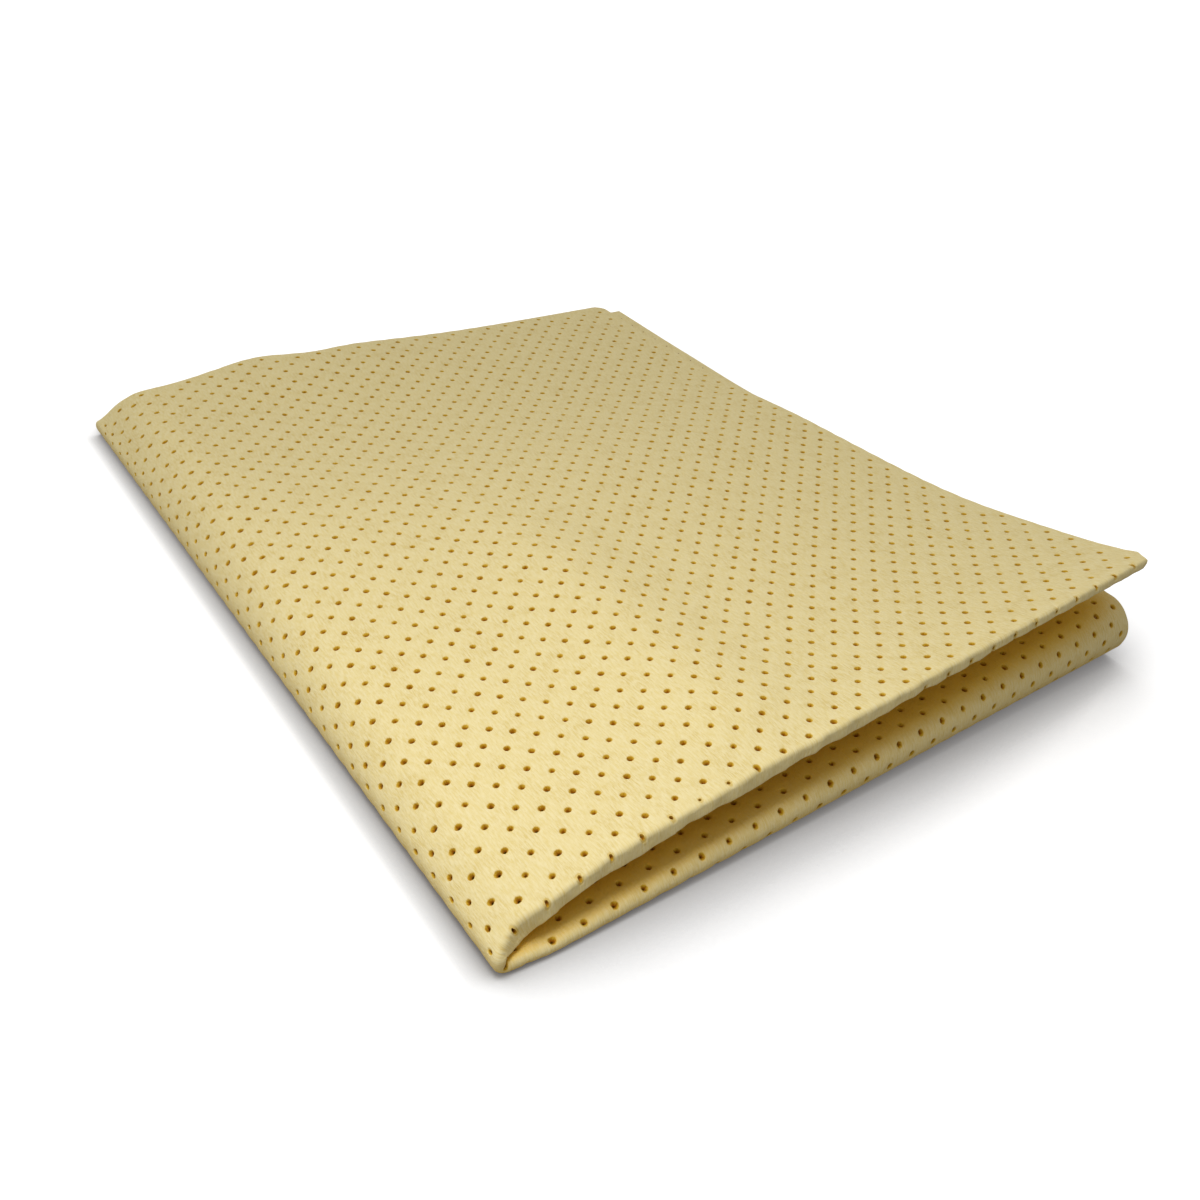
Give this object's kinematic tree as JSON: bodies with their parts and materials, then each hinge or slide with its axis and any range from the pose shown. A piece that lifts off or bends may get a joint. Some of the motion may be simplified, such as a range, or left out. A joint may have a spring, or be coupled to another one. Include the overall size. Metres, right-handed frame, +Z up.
{
  "type": "perforated synthetic chamois",
  "caption": "Perforated nonwoven wiping cloth, folded flat on itself with a creased front over a loose roll; the upper layers swing open about the round left fold.",
  "frame": {"origin": "middle of the folded cloth's footprint, on the surface it lies on", "axes": "+X from the round left fold to the cut right edges, +Y from the creased front to the cut back edges, +Z up"},
  "size_m": [0.2008, 0.2538, 0.0365],
  "materials": {
    "chamois": "matte needled nonwoven, pale cream yellow, with a faint fibre streak and punched round holes"
  },
  "bodies": {
    "bottom": {"bottom_outer_panel": "chamois", "bottom_inner_panel": "chamois", "bottom_front_fold": "chamois", "left_outer_fold": "chamois", "left_inner_fold": "chamois", "nose_fold": "chamois"},
    "top": {"top_outer_panel": "chamois", "top_inner_panel": "chamois", "top_front_fold": "chamois"}
  },
  "joints": [
    {"name": "left_fold_opening", "type": "hinge", "parent": "bottom", "child": "top", "pos_m": [-0.0988, 0, 0.007], "axis": [0.0043, -1, 0], "range_deg": [0, 165], "deforming": ["left_outer_fold", "left_inner_fold", "nose_fold"]}
  ]
}
